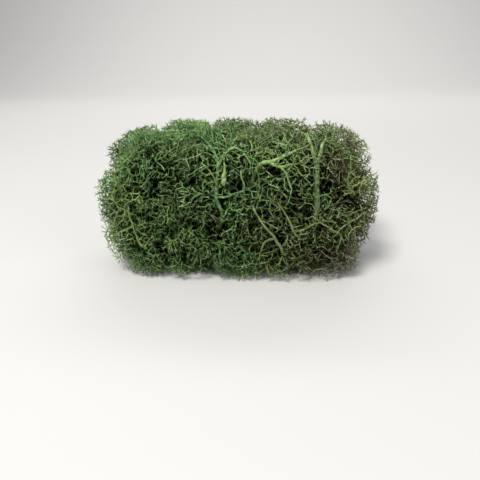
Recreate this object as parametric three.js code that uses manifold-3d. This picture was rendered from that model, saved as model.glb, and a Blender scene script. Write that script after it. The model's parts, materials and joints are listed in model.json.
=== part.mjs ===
// A clump of reindeer moss, resting on the cut feet of its stalks.
//
// The cushion is made of separate plants. Each plant is one solid: a stalk from the ground, a dense middle
// on top of it, and forked sprays that stand out of the middle and end in three-sided points.
// Units are millimetres, +Z is up, the origin is at the middle of the foot, and the front faces -Y.

import * as THREE from 'three';
import { mergeVertices } from 'three/addons/utils/BufferGeometryUtils.js';
import Module from 'manifold-3d';

const wasm = await Module();
wasm.setup();

// ---------------------------------------------------------------- driving dimensions

// The outline of the whole cushion: a rounded box, widest at the belly, a little narrower on the ground.
const CLUMP_WIDTH = 182;
const CLUMP_DEPTH = 97;
const CLUMP_HEIGHT = 93;
const BELLY_HEIGHT = 42;
const BELLY_DROP = 52; // how far below the belly the sides would close if the ground did not cut them
const BOXINESS = 4; // 2 would be an ellipsoid
const GROUND_CLEARANCE = 1.2;

// Four rings of heads, each with its half width and half depth. The feet of a ring stand inside those of
// the ring below it, so the stalks fan out.
const TIERS = [
  { name: 'low_head', count: 12, height: 19, half: [70, 29], feetHalf: [56, 21], turn: 0 },
  { name: 'middle_head', count: 12, height: 46, half: [73, 29], feetHalf: [41, 14], turn: 0.5 },
  { name: 'top_head', count: 9, height: 72, half: [68, 22], feetHalf: [27, 7.5], turn: 0.25 },
  { name: 'crown_head', count: 3, height: 75, half: [40, 1], feetHalf: [12, 0.5], turn: 0.25 },
];
const TIER_CORNER = 0.8; // corner radius of a ring, as a part of its half depth
const HEAD_JITTER = 2;
const OUTWARD_FROM = 14; // a head faces away from a point this far above the ground

// Thick old stalks that climb to the front between the heads, from foot to fork, and the arms of each
// from where they leave the stalk.
const OLD_ROUTES = [
  {
    stalk: [[-13, -26, 0], [-13, -31, 24], [-6, -42, 45], [-8.8, -44.5, 56], [-8, -44, 66], [-7, -42, 77]],
    arms: [
      [[-7, -42, 76], [-3.5, -40, 81], [1.5, -37, 84], [6, -38, 82.5], [12, -42, 75.5]],
      [[-7.2, -42, 75], [-9.5, -39, 82], [-14, -34, 86]],
      [[-8.3, -44.3, 57], [-4, -45.5, 57], [1, -45, 58.5]],
    ],
  },
  {
    stalk: [[43, -28, 0], [45, -35, 24], [50, -43, 47], [49.6, -44, 60], [49.2, -43, 70], [48.7, -41, 77]],
    arms: [
      [[48.8, -41.2, 76], [46.8, -38.5, 82], [45.4, -33, 86], [43, -24, 89], [38, -17, 90]],
      [[48.8, -41.2, 76], [51.3, -38, 81.5], [52.3, -34, 85], [55.5, -26, 87.5]],
    ],
  },
  {
    stalk: [
      [14, -26, 0], [15, -31, 24], [10, -36, 48], [13, -40, 68],
      [18, -43, 76.5], [24, -43, 77.5], [30, -41, 80],
    ],
    arms: [
      [[29, -41.3, 79.5], [33, -40, 81], [38, -38.5, 83]],
      [[22, -43, 77], [27, -44, 75], [32, -44.5, 75]],
    ],
  },
];

// How each kind of plant grows: fine and dense on the left, coarse and open on the right.
const COARSE_FROM_X = 12;
const FINE = { core: 7.5, sprays: 8, trunk: 1.3, limb: 6.5, tip: 5.5, reach: 20, colour: 0x4f7038 };
const COARSE = { core: 6.5, sprays: 6, trunk: 1.3, limb: 8, tip: 7, reach: 22, colour: 0x5c6a3e };
const OLD = { sprays: 4, trunk: 1.0, limb: 7, tip: 6, reach: 90, colour: 0x6c6a46 };

// The stalk, and the dense middle of a head by its distance back from the crown.
const BODY_SIDES = 6;
const FOOT_RADIUS = 2.6;
const STALK_RADIUS = 1.9;
const STALK_BACK = 18;
const SHORTEST_NECK = 3;
const BEND_OUT = 0.35; // where a stalk bends: this part of the way out from its foot,
const BEND_UP = 0.55; // and this part of the way up to its head
const CORE_AHEAD = 6; // how far the dense middle reaches past the centre of its head
const CORE_ROUGHNESS = 0.14;
const CORE_SECTIONS = [
  { back: 11, wide: 0.85 },
  { back: 5.5, wide: 1 },
  { back: 1.5, wide: 0.6 },
];
const OLD_STALK = { steps: 10, wide: 2.2, narrow: 1.5 };
const OLD_ARM = { steps: 5, wide: 1.3, narrow: 0.9 };
const OLD_FIRST_SPRAY = 0.5; // where the sprays of an old stalk begin and end, as a part of its length
const OLD_LAST_SPRAY = 0.97;
const OLD_SPRAY_RISE = 0.3;
const OLD_LEADER = 3; // how much more the spray at the end of an arm follows it

// The sprays: a trunk that forks into three limbs, each of which forks into three tips.
const LIMB_RADIUS = 1.0;
const TIP_RADIUS = 0.8;
const TRUNK_ROOT = 2; // from the centre of the head, well inside the dense middle
const TRUNK_OUT = 4; // from the face of the dense middle to the first fork
const OLD_TRUNK_LENGTH = 7;
const LOWEST_SPRAY = -0.45; // cosine of the widest angle between a spray and the way its head faces
const SPRAY_WANDER = 0.12;
const FORK_ANGLE = 42;
const FORK_WANDER = 9;
const FORK_RISE = 0.9; // height of the saddle in a fork, in radii
const LENGTH_SPREAD = [0.85, 1.1];
const SHORTER_TRIES = [1, 0.85, 0.7, 0.55]; // a rod that would touch another is tried again, shorter
const CLEARANCE = 0.4;
const SHORT_STEP = 0.01; // a section of a dense middle keeps its neighbours off like a ball

const UP = new THREE.Vector3(0, 0, 1);
const GOLDEN_ANGLE = Math.PI * (3 - Math.sqrt(5));

// ---------------------------------------------------------------- random draws, always the same

THREE.MathUtils.seededRandom(1711);

function draw(low, high) {
  return low + (high - low) * THREE.MathUtils.seededRandom();
}

// ---------------------------------------------------------------- the outline of the cushion

function insideCushion(point) {
  const rise = point.z - BELLY_HEIGHT;
  const across = Math.abs(point.x) / (CLUMP_WIDTH / 2);
  const deep = Math.abs(point.y) / (CLUMP_DEPTH / 2);
  const tall = rise > 0 ? rise / (CLUMP_HEIGHT - BELLY_HEIGHT) : -rise / BELLY_DROP;
  return across ** BOXINESS + deep ** BOXINESS + tall ** BOXINESS < 1 && point.z > GROUND_CLEARANCE;
}

// ---------------------------------------------------------------- where each plant stands

function ringOfTier({ half: [halfWidth, halfDepth] }) {
  const corner = TIER_CORNER * halfDepth;
  const ring = new THREE.Path();
  ring.moveTo(halfWidth, 0);
  ring.absarc(halfWidth - corner, halfDepth - corner, corner, 0, Math.PI / 2);
  ring.absarc(corner - halfWidth, halfDepth - corner, corner, Math.PI / 2, Math.PI);
  ring.absarc(corner - halfWidth, corner - halfDepth, corner, Math.PI, Math.PI * 1.5);
  ring.absarc(halfWidth - corner, corner - halfDepth, corner, Math.PI * 1.5, Math.PI * 2);
  ring.lineTo(halfWidth, 0);
  return ring;
}

function plantsOfTier(tier) {
  const ring = ringOfTier(tier);
  return Array.from({ length: tier.count }, (_, i) => {
    const place = ring.getPointAt(((i + tier.turn) / tier.count) % 1);
    const centre = new THREE.Vector3(
      place.x + draw(-HEAD_JITTER, HEAD_JITTER),
      place.y + draw(-HEAD_JITTER, HEAD_JITTER),
      tier.height + draw(-HEAD_JITTER, HEAD_JITTER),
    );
    const outward = new THREE.Vector3(
      centre.x / CLUMP_WIDTH,
      centre.y / CLUMP_DEPTH,
      (centre.z - OUTWARD_FROM) / CLUMP_HEIGHT,
    ).normalize();
    const foot = new THREE.Vector3(
      (place.x * tier.feetHalf[0]) / tier.half[0],
      (place.y * tier.feetHalf[1]) / tier.half[1],
      0,
    );
    const crown = centre.clone().addScaledVector(outward, CORE_AHEAD);
    const bend = foot.clone().lerp(centre, BEND_OUT).setZ(centre.z * BEND_UP);
    return {
      name: `${tier.name}_${String(i + 1).padStart(2, '0')}`,
      centre,
      outward,
      sideways: new THREE.Vector3().crossVectors(UP, outward).normalize(),
      spine: new THREE.QuadraticBezierCurve3(foot, bend, crown),
      arms: [],
      habit: centre.x > COARSE_FROM_X ? COARSE : FINE,
    };
  });
}

function routeCurve(route) {
  return new THREE.CatmullRomCurve3(route.map((place) => new THREE.Vector3(...place)));
}

function oldPlant({ stalk, arms }, i) {
  const spine = routeCurve(stalk);
  return {
    name: `old_stalk_0${i + 1}`,
    centre: spine.getPoint(1),
    sideways: new THREE.Vector3(0, -1, 0),
    spine,
    arms: arms.map(routeCurve),
    habit: OLD,
  };
}

// ---------------------------------------------------------------- keeping clear of what stands already

const placed = []; // rods with round ends: { from, to, radius, plant, fork }

function distanceBetweenRods(a, b) {
  const along = a.to.clone().sub(a.from);
  const other = b.to.clone().sub(b.from);
  const between = a.from.clone().sub(b.from);
  const aa = along.lengthSq();
  const bb = other.lengthSq();
  const ab = along.dot(other);
  const ar = along.dot(between);
  const br = other.dot(between);
  const slope = aa * bb - ab * ab;
  const first = slope > 1e-9 ? THREE.MathUtils.clamp((ab * br - bb * ar) / slope, 0, 1) : 0;
  const t = THREE.MathUtils.clamp((ab * first + br) / bb, 0, 1);
  const s = THREE.MathUtils.clamp((ab * t - ar) / aa, 0, 1);
  return between.addScaledVector(along, s).addScaledVector(other, -t).length();
}

function isClear(rod, mayTouch) {
  return placed.every((other) => {
    const room = rod.radius + other.radius + CLEARANCE;
    return mayTouch(other) || distanceBetweenRods(rod, other) > room;
  });
}

// ---------------------------------------------------------------- the stalk and the dense middle

function headSections({ spine, habit }) {
  const length = spine.getLength();
  const sections = [{ back: length, radius: FOOT_RADIUS, rough: 0 }];
  if (length > STALK_BACK + SHORTEST_NECK) {
    sections.push({ back: STALK_BACK, radius: STALK_RADIUS, rough: 0 });
  }
  for (const { back, wide } of CORE_SECTIONS) {
    if (back < length - SHORTEST_NECK) {
      sections.push({ back, radius: wide * habit.core, rough: CORE_ROUGHNESS });
    }
  }
  return sections.map(({ back, radius, rough }) => ({ at: 1 - back / length, radius, rough }));
}

function oldSections({ steps, wide, narrow }) {
  return Array.from({ length: steps }, (_, i) => {
    return { at: i / steps, radius: THREE.MathUtils.lerp(wide, narrow, i / steps), rough: 0 };
  });
}

function ringAround(centre, right, over, radius, sides, rough) {
  return Array.from({ length: sides }, (_, k) => {
    const angle = (2 * Math.PI * k) / sides;
    const reach = radius * (1 + draw(-rough, rough));
    const corner = centre.clone().addScaledVector(right, reach * Math.cos(angle));
    return corner.addScaledVector(over, reach * Math.sin(angle));
  });
}

function growTube(plant, spine, sections) {
  const rings = sections.map(({ at, radius, rough }) => {
    const centre = spine.getPointAt(at);
    const along = centre.z === 0 ? UP : spine.getTangentAt(at);
    const over = new THREE.Vector3().crossVectors(along, plant.sideways).normalize();
    const right = new THREE.Vector3().crossVectors(over, along);
    return ringAround(centre, right, over, radius, BODY_SIDES, rough);
  });
  sections.forEach(({ at, radius, rough }, i) => {
    const next = sections[i + 1] ?? { at: 1 };
    placed.push({
      from: spine.getPointAt(at),
      to: spine.getPointAt(rough ? at + SHORT_STEP : next.at),
      radius: radius * (1 + rough),
      plant,
      fork: null,
    });
  });
  return { rings, tip: spine.getPoint(1) };
}

function growBody(plant) {
  const { spine, arms, habit } = plant;
  const sections = habit === OLD ? oldSections(OLD_STALK) : headSections(plant);
  plant.tubes = [growTube(plant, spine, sections)];
  arms.forEach((arm) => plant.tubes.push(growTube(plant, arm, oldSections(OLD_ARM))));
}

// ---------------------------------------------------------------- the sprays

function headSprays({ centre, outward, sideways, habit }) {
  const over = new THREE.Vector3().crossVectors(outward, sideways);
  const turn = draw(0, Math.PI * 2);
  return Array.from({ length: habit.sprays }, (_, i) => {
    const facing = 1 - ((i + 0.5) / habit.sprays) * (1 - LOWEST_SPRAY);
    const away = Math.sqrt(1 - facing * facing);
    const angle = turn + i * GOLDEN_ANGLE;
    const direction = outward.clone().multiplyScalar(facing);
    direction.addScaledVector(sideways, away * Math.cos(angle) + draw(-SPRAY_WANDER, SPRAY_WANDER));
    direction.addScaledVector(over, away * Math.sin(angle) + draw(-SPRAY_WANDER, SPRAY_WANDER));
    direction.normalize();
    const from = centre.clone().addScaledVector(direction, TRUNK_ROOT);
    return { from, direction, length: habit.core - TRUNK_ROOT + TRUNK_OUT };
  });
}

function sprayOnCurve(curve, at, turn, follow) {
  const angle = turn * GOLDEN_ANGLE;
  const direction = curve.getTangentAt(at).multiplyScalar(follow);
  direction.add(new THREE.Vector3(Math.cos(angle), Math.sin(angle), OLD_SPRAY_RISE)).normalize();
  return { from: curve.getPointAt(at), direction, length: OLD_TRUNK_LENGTH };
}

function oldSprays({ spine, arms, habit }) {
  const onStalk = Array.from({ length: habit.sprays }, (_, i) => {
    const at = THREE.MathUtils.lerp(OLD_FIRST_SPRAY, OLD_LAST_SPRAY, i / (habit.sprays - 1));
    return sprayOnCurve(spine, at, i, 1);
  });
  const onArms = arms.map((arm, i) => sprayOnCurve(arm, OLD_LAST_SPRAY, i, OLD_LEADER));
  return [...onStalk, ...onArms];
}

// A rod of a spray has three sides. Its ring is turned so that each side of the fork grows one child.
function rodRing(centre, direction, towards, radius) {
  const right = towards.clone().projectOnPlane(direction).normalize();
  const over = new THREE.Vector3().crossVectors(direction, right);
  return ringAround(centre, right, over, radius, 3, 0);
}

function growRod(plant, parent, face, from, direction, length, radius) {
  for (const part of SHORTER_TRIES) {
    const to = from.clone().addScaledVector(direction, length * part);
    const rod = { from, to, radius, plant, fork: parent, direction, face, children: [null, null, null] };
    const mayTouch = parent
      ? (other) => other === parent || other.fork === parent
      : (other) => other.plant === plant && other.fork === null;
    const inReach = insideCushion(to) && to.distanceTo(plant.centre) < plant.habit.reach;
    if (inReach && isClear(rod, mayTouch)) {
      placed.push(rod);
      return rod;
    }
  }
  return null;
}

function endRing({ to, direction, face, radius }) {
  const middle = face[0].clone().add(face[1]).add(face[2]).divideScalar(3);
  return rodRing(to, direction, face[0].clone().sub(middle), radius);
}

function forkFaces(rod) {
  const ring = endRing(rod);
  const saddle = rod.to.clone().addScaledVector(rod.direction, rod.radius * FORK_RISE);
  return ring.map((corner, k) => [corner, ring[(k + 1) % 3], saddle]);
}

function growFork(rod, length, radius) {
  rod.children = forkFaces(rod).map((face) => {
    const outward = face[0].clone().add(face[1]).divideScalar(2).sub(rod.to).normalize();
    const angle = THREE.MathUtils.degToRad(FORK_ANGLE + draw(-FORK_WANDER, FORK_WANDER));
    const direction = rod.direction.clone().multiplyScalar(Math.cos(angle));
    direction.addScaledVector(outward, Math.sin(angle)).normalize();
    return growRod(rod.plant, rod, face, rod.to, direction, length * draw(...LENGTH_SPREAD), radius);
  });
}

function growTrunks(plant) {
  const sprays = plant.habit === OLD ? oldSprays(plant) : headSprays(plant);
  const radius = plant.habit.trunk;
  plant.trunks = sprays
    .map(({ from, direction, length }) => {
      const face = rodRing(from, direction, new THREE.Vector3().crossVectors(direction, UP), radius);
      return growRod(plant, null, face, from, direction, length, radius);
    })
    .filter(Boolean);
}

// ---------------------------------------------------------------- turning plants into solids

function wall(triangles, below, above) {
  below.forEach((corner, k) => {
    const next = (k + 1) % below.length;
    triangles.push(corner, below[next], above[next], corner, above[next], above[k]);
  });
}

function point(triangles, ring, tip) {
  ring.forEach((corner, k) => triangles.push(corner, ring[(k + 1) % ring.length], tip));
}

function cap(triangles, ring) {
  for (let k = 1; k + 1 < ring.length; k += 1) triangles.push(ring[0], ring[k + 1], ring[k]);
}

function rodTriangles(triangles, rod) {
  if (rod.children.every((child) => child === null)) {
    point(triangles, rod.face, rod.to);
    return;
  }
  wall(triangles, rod.face, endRing(rod));
  forkFaces(rod).forEach((face, k) => {
    if (rod.children[k]) rodTriangles(triangles, rod.children[k]);
    else triangles.push(...face);
  });
}

function solidFrom(triangles) {
  const geometry = mergeVertices(new THREE.BufferGeometry().setFromPoints(triangles), 1e-4);
  const mesh = new wasm.Mesh({
    numProp: 3,
    vertProperties: new Float32Array(geometry.attributes.position.array),
    triVerts: new Uint32Array(geometry.index.array),
  });
  return new wasm.Manifold(mesh);
}

function tubeSolid({ rings, tip }) {
  const triangles = [];
  cap(triangles, rings[0]);
  rings.slice(1).forEach((ring, i) => wall(triangles, rings[i], ring));
  point(triangles, rings.at(-1), tip);
  return solidFrom(triangles);
}

function spraySolid(trunk) {
  const triangles = [];
  cap(triangles, trunk.face);
  rodTriangles(triangles, trunk);
  return solidFrom(triangles);
}

function meshOf(plant) {
  const solids = [...plant.tubes.map(tubeSolid), ...plant.trunks.map(spraySolid)];
  const solid = solids.reduce((whole, piece) => whole.add(piece));
  const { vertProperties, triVerts } = solid.getMesh();
  const geometry = new THREE.BufferGeometry();
  geometry.setAttribute('position', new THREE.BufferAttribute(vertProperties, 3));
  geometry.setIndex(new THREE.BufferAttribute(triVerts, 1));
  const finish = { color: plant.habit.colour, roughness: 0.9, metalness: 0 };
  const mesh = new THREE.Mesh(geometry, new THREE.MeshStandardMaterial(finish));
  mesh.name = plant.name;
  return mesh;
}

// ---------------------------------------------------------------- the clump, grown stage by stage

const plants = [...OLD_ROUTES.map(oldPlant), ...TIERS.flatMap(plantsOfTier)];
plants.forEach(growBody);
plants.forEach(growTrunks);
const trunks = plants.flatMap((plant) => plant.trunks);
trunks.forEach((trunk) => growFork(trunk, trunk.plant.habit.limb, LIMB_RADIUS));
const limbs = trunks.flatMap((trunk) => trunk.children.filter(Boolean));
limbs.forEach((limb) => growFork(limb, limb.plant.habit.tip, TIP_RADIUS));

const clump = new THREE.Group();
plants.forEach((plant) => clump.add(meshOf(plant)));

export default clump;
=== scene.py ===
# %% [markdown]
# # A clump of reindeer moss
#
# Reindeer moss is not a moss but a lichen. It has no leaves: each plant is a pale, felty stalk that
# forks again and again, mostly in threes, until it ends in little stars of pointed tips. Florists keep it
# soft with glycerine and dye it green. A clump is a few dozen such plants, packed side by side.
#
# The imported part already holds one plain solid for each plant, with its stalk and its three first orders
# of forks. This script dresses each solid: it follows the same forks, makes them as thin as they grow,
# and adds the finer orders that the solids leave out.
#
# First comes the imported part itself. Everything here is in its frame, and its solids and record are kept
# for later.

# %% Load the imported part
import json
import math

import bpy
import numpy as np
from mathutils import Matrix, Vector, noise
from mathutils.bvhtree import BVHTree


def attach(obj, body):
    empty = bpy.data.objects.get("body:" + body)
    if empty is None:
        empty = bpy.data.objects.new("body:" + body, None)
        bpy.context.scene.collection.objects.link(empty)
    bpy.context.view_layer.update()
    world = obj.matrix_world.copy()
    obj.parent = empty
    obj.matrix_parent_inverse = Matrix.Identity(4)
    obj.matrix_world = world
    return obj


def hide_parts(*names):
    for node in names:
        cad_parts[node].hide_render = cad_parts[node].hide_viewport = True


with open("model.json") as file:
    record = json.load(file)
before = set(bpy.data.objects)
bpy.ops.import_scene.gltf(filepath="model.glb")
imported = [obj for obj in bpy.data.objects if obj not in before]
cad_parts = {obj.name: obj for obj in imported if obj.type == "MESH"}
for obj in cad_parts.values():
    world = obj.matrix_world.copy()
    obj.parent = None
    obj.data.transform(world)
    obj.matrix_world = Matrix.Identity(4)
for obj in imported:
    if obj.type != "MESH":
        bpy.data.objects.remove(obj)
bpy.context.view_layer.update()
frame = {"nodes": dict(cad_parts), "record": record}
MM = 0.001
print("solids:", len(frame["nodes"]))

# %% [markdown]
# ## Camera
#
# The clump is seen from in front, a little to the right and from well above, as it would be on a shelf
# below eye level. The camera stands close, at about 30 cm, so the perspective is strong. A camera's place
# is easiest to give as a point, a turn, a tilt and a roll. Blender's camera looks down its own -Z, so the
# last quarter turn lays it level before the others are applied.


# %% Camera
def aim_camera(place, turn, tilt, roll, lens):
    data = bpy.data.cameras.new("camera")
    data.sensor_width = 36
    data.lens = lens
    data.clip_start = 0.01
    camera = bpy.data.objects.new("camera", data)
    bpy.context.scene.collection.objects.link(camera)
    level = Matrix.Rotation(math.radians(90), 4, "X")
    turned = Matrix.Rotation(math.radians(turn), 4, "Z")
    tilted = Matrix.Rotation(math.radians(tilt), 4, "X")
    rolled = Matrix.Rotation(math.radians(roll), 4, "Y")
    camera.matrix_world = Matrix.Translation(place) @ turned @ tilted @ rolled @ level
    bpy.context.scene.camera = camera
    return camera


camera = aim_camera((0.0268, -0.2936, 0.1375), turn=5.080, tilt=-23.362, roll=1.299, lens=33.545)
print("camera at", [round(x, 4) for x in camera.location])

# %% [markdown]
# ## Floor and light
#
# The floor is one large pale sheet that turns up behind the clump in a wide sweep, like paper that hangs
# from a rail, so that no edge shows behind the moss. Dry lichen is matt and full of dark gaps: it needs a
# large soft lamp above and in front, a weak one on the other side, and a pale surround for the rest. A third
# lamp lights only the backdrop, which leaves the outline of the moss crisp.


# %% Floor
WALL_TO_SWEEP = 3  # how many times as high as the sweep the wall behind it is
FLOOR_BELOW = 0.1  # millimetres under the feet, so that the two don't lie in one plane


def sweep_floor(half, depth_behind, rise):
    profile = [(-half, 0.0), (depth_behind, 0.0)]
    profile += [
        (depth_behind + rise * math.sin(math.radians(a)), rise * (1 - math.cos(math.radians(a))))
        for a in range(10, 91, 10)
    ]
    profile.append((depth_behind + rise, WALL_TO_SWEEP * rise))
    points = [(x, y, z) for y, z in profile for x in (-half, half)]
    faces = [(2 * i, 2 * i + 1, 2 * i + 3, 2 * i + 2) for i in range(len(profile) - 1)]
    mesh = bpy.data.meshes.new("floor")
    mesh.from_pydata(points, [], faces)
    mesh.shade_smooth()
    floor = bpy.data.objects.new("floor", mesh)
    floor.location.z = -FLOOR_BELOW * MM
    bpy.context.scene.collection.objects.link(floor)
    paper = bpy.data.materials.new("floor_paper")
    paper.use_nodes = True
    shader = paper.node_tree.nodes["Principled BSDF"]
    shader.inputs["Base Color"].default_value = (0.5, 0.494, 0.485, 1)
    shader.inputs["Roughness"].default_value = 0.9
    mesh.materials.append(paper)
    return floor


sweep_floor(half=3.0, depth_behind=1.2, rise=0.8)


# %% Lamps
def hang_lamp(name, place, target, size, watts, colour):
    data = bpy.data.lights.new(name, "AREA")
    data.shape = "RECTANGLE"
    data.size, data.size_y = size
    data.energy = watts
    data.color = colour
    lamp = bpy.data.objects.new(name, data)
    lamp.location = place
    lamp.rotation_euler = (Vector(target) - Vector(place)).to_track_quat("-Z", "Y").to_euler()
    bpy.context.scene.collection.objects.link(lamp)
    return lamp


MIDDLE = (0.0, 0.0, 0.045)
BACKDROP = (0.0, 1.15, 0.0)
lamps = [
    hang_lamp("key_lamp", (-0.3, -0.6, 1.05), MIDDLE, (0.35, 0.3), 19.0, (1.0, 0.98, 0.94)),
    hang_lamp("fill_lamp", (0.9, -0.55, 0.5), MIDDLE, (0.6, 0.6), 2.8, (0.95, 0.98, 1.0)),
    hang_lamp("back_lamp", (0.0, 1.0, 1.1), BACKDROP, (1.8, 0.5), 17.0, (1.0, 0.99, 0.97)),
]
print("lamps:", [lamp.name for lamp in lamps])

world = bpy.data.worlds.new("studio")
world.use_nodes = True
world.node_tree.nodes["Background"].inputs["Color"].default_value = (0.95, 0.97, 1.0, 1)
world.node_tree.nodes["Background"].inputs["Strength"].default_value = 0.42
bpy.context.scene.world = world
bpy.context.scene.view_settings.view_transform = "Standard"

# %% [markdown]
# ## Dice that always fall the same way
#
# No two plants are alike, so nearly every length and angle is drawn at random. The draws have to come out
# the same on each run, and the first of them the same as those that shaped the solids. So they come from
# one small generator, written out here, and not from Python's own.


# %% Seeded dice
class Dice:
    WHOLE = 0xFFFFFFFF

    def __init__(self, seed):
        self.state = seed

    def roll(self):
        self.state = (self.state + 0x6D2B79F5) & self.WHOLE
        t = self.state
        t = ((t ^ (t >> 15)) * (t | 1)) & self.WHOLE
        t ^= (t + (((t ^ (t >> 7)) * (t | 61)) & self.WHOLE)) & self.WHOLE
        return ((t ^ (t >> 14)) & self.WHOLE) / 2**32

    def draw(self, low, high):
        return low + (high - low) * self.roll()


dice = Dice(1711)
print("first throw:", round(dice.roll(), 6))

# %% [markdown]
# ## The outline of the cushion
#
# The plants lean on each other and grow to one common outline, a rounded box. A superellipsoid gives it
# in one line: with an exponent of 2 it would be an egg, and with 4 it is a soft loaf. `room_left` is 1 in
# the middle of the cushion and 0 on its outline. All lengths are in millimetres until the meshes are made.

# %% Outline
WIDTH, DEPTH, HEIGHT = 182, 97, 93
BELLY_HEIGHT, BELLY_DROP, BOXINESS = 42, 52, 4
GROUND_CLEARANCE = 1.2


def room_left(at):
    rise = at.z - BELLY_HEIGHT
    tall = rise / (HEIGHT - BELLY_HEIGHT) if rise > 0 else -rise / BELLY_DROP
    across, deep = abs(at.x) * 2 / WIDTH, abs(at.y) * 2 / DEPTH
    return 1 - (across**BOXINESS + deep**BOXINESS + tall**BOXINESS) ** (1 / BOXINESS)


def inside_cushion(at):
    return room_left(at) > 0 and at.z > GROUND_CLEARANCE


# %% [markdown]
# ## Spines
#
# A plant's spine is a smooth curve from its foot to its crown. A young plant bends outward once, so a
# quadratic curve through three points is enough. The thick old stalks wander between their neighbours,
# and a Catmull-Rom curve passes through every point of their routes. A table of lengths along the curve
# lets a place be given as a part of its length, from 0 at the foot to 1 at the crown.


# %% Spines
class Spine:
    STEPS = 200
    NUDGE = 0.0001

    def __init__(self, formula):
        self.formula = formula
        self.times = np.linspace(0, 1, self.STEPS + 1)
        points = np.array([formula(t) for t in self.times])
        steps = np.linalg.norm(np.diff(points, axis=0), axis=1)
        self.lengths = np.concatenate([[0], np.cumsum(steps)])
        self.length = float(self.lengths[-1])

    def time(self, part):
        return float(np.interp(part * self.length, self.lengths, self.times))

    def point(self, part):
        return Vector(self.formula(self.time(part)))

    def tangent(self, part):
        t = self.time(part)
        before, after = max(t - self.NUDGE, 0), min(t + self.NUDGE, 1)
        return (Vector(self.formula(after)) - Vector(self.formula(before))).normalized()


def bent_spine(foot, bend, crown):
    a, b, c = (np.array(p) for p in (foot, bend, crown))
    return Spine(lambda t: (1 - t) ** 2 * a + 2 * t * (1 - t) * b + t * t * c)


def wandering_spine(route):
    p = [np.array(place, float) for place in route]
    p = [2 * p[0] - p[1]] + p + [2 * p[-1] - p[-2]]

    def formula(t):
        i = min(int(t * (len(p) - 3)), len(p) - 4)
        w = t * (len(p) - 3) - i
        p0, p1, p2, p3 = p[i : i + 4]
        d0, d1, d2 = (float(np.linalg.norm(b - a)) ** 0.5 for a, b in ((p0, p1), (p1, p2), (p2, p3)))
        leave = ((p1 - p0) / d0 - (p2 - p0) / (d0 + d1) + (p2 - p1) / d1) * d1
        arrive = ((p2 - p1) / d1 - (p3 - p1) / (d1 + d2) + (p3 - p2) / d2) * d1
        return (
            p1
            + leave * w
            + (3 * (p2 - p1) - 2 * leave - arrive) * w**2
            + (2 * (p1 - p2) + leave + arrive) * w**3
        )

    return Spine(formula)


# %% [markdown]
# ## Where the plants stand
#
# The heads stand in four rings, one above the other, and each ring's feet stand inside those of the ring
# below, so the stalks fan out like a sheaf. Plants on the left are fine and dense, and those on the right
# coarse and open, as plants from different places would be. `habit` holds what differs between them: its
# first row is for the main forks, the second for the finer twigs, and the third for the gaps among them and
# for long straight shoots.
#
# Three old stalks at the front are thick enough to be seen, so each has a route through given points, and
# arms with routes of their own. Below `bare_from` the stalk hides among twigs, and above it is bare. `girth`
# is its thickness, `tone` its hue and `age` how dark it is. `brushes` counts the arms that end in a brush.

# %% Tiers and routes
TIERS = [
    {"name": "low_head", "count": 12, "height": 19, "half": (70, 29), "feet": (56, 21), "turn": 0},
    {"name": "middle_head", "count": 12, "height": 46, "half": (73, 29), "feet": (41, 14), "turn": 0.5},
    {"name": "top_head", "count": 9, "height": 72, "half": (68, 22), "feet": (27, 7.5), "turn": 0.25},
    {"name": "crown_head", "count": 3, "height": 75, "half": (40, 1), "feet": (12, 0.5), "turn": 0.25},
]
OLD_ROUTES = [
    {
        "stalk": [
            (-13, -26, 0), (-13, -31, 24), (-6, -42, 45), (-8.8, -44.5, 56), (-8, -44, 66), (-7, -42, 77),
        ],
        "bare_from": 42, "girth": 0.7, "tone": 0.6, "age": 0.36, "brushes": 2,
        "arms": [
            [(-7, -42, 76), (-3.5, -40, 81), (1.5, -37, 84), (6, -38, 82.5), (12, -42, 75.5)],
            [(-7.2, -42, 75), (-9.5, -39, 82), (-14, -34, 86)],
            [(-8.3, -44.3, 57), (-4, -45.5, 57), (1, -45, 58.5)],
        ],
    },
    {
        "stalk": [
            (43, -28, 0), (45, -35, 24), (50, -43, 47), (49.6, -44, 60), (49.2, -43, 70), (48.7, -41, 77),
        ],
        "bare_from": 50, "girth": 1.0, "tone": 0.26, "age": 0.72, "brushes": 2,
        "arms": [
            [(48.8, -41.2, 76), (46.8, -38.5, 82), (45.4, -33, 86), (43, -24, 89), (38, -17, 90)],
            [(48.8, -41.2, 76), (51.3, -38, 81.5), (52.3, -34, 85), (55.5, -26, 87.5)],
        ],
    },
    {
        "stalk": [
            (14, -26, 0), (15, -31, 24), (10, -36, 48), (13, -40, 68),
            (18, -43, 76.5), (24, -43, 77.5), (30, -41, 80),
        ],
        "bare_from": 74, "girth": 0.8, "tone": 0.82, "age": 0.42, "brushes": 2,
        "arms": [
            [(29, -41.3, 79.5), (33, -40, 81), (38, -38.5, 83)],
            [(22, -43, 77), (27, -44, 75), (32, -44.5, 75)],
        ],
    },
]
print("old stalks:", len(OLD_ROUTES), "heads:", sum(tier["count"] for tier in TIERS))

# %% Habits
COARSE_FROM_X = 12
FINE = {
    "core": 7.5, "sprays": 8, "trunk": 1.3, "limb": 6.5, "tip": 5.5, "reach": 20,
    "radii": (0.62, 0.46, 0.36, 0.26), "length": 3.5, "gap": 2.1, "curl": 11, "star": 2.5,
    "pockets": (8.5, -0.2), "strays": 0.03,
}
COARSE = {
    "core": 6.5, "sprays": 6, "trunk": 1.3, "limb": 8, "tip": 7, "reach": 22,
    "radii": (0.78, 0.54, 0.38, 0.27), "length": 4.2, "gap": 2.45, "curl": 22, "star": 2.2,
    "pockets": (11.0, -0.2), "strays": 0.08,
}
OLD = {
    "sprays": 4, "trunk": 1.0, "limb": 7, "tip": 6, "reach": 90,
    "radii": (0.75, 0.52, 0.38, 0.28), "length": 3.8, "gap": 2.4, "curl": 20, "star": 2.0,
    "pockets": (12.0, -0.3), "strays": 0.0,
}

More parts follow.
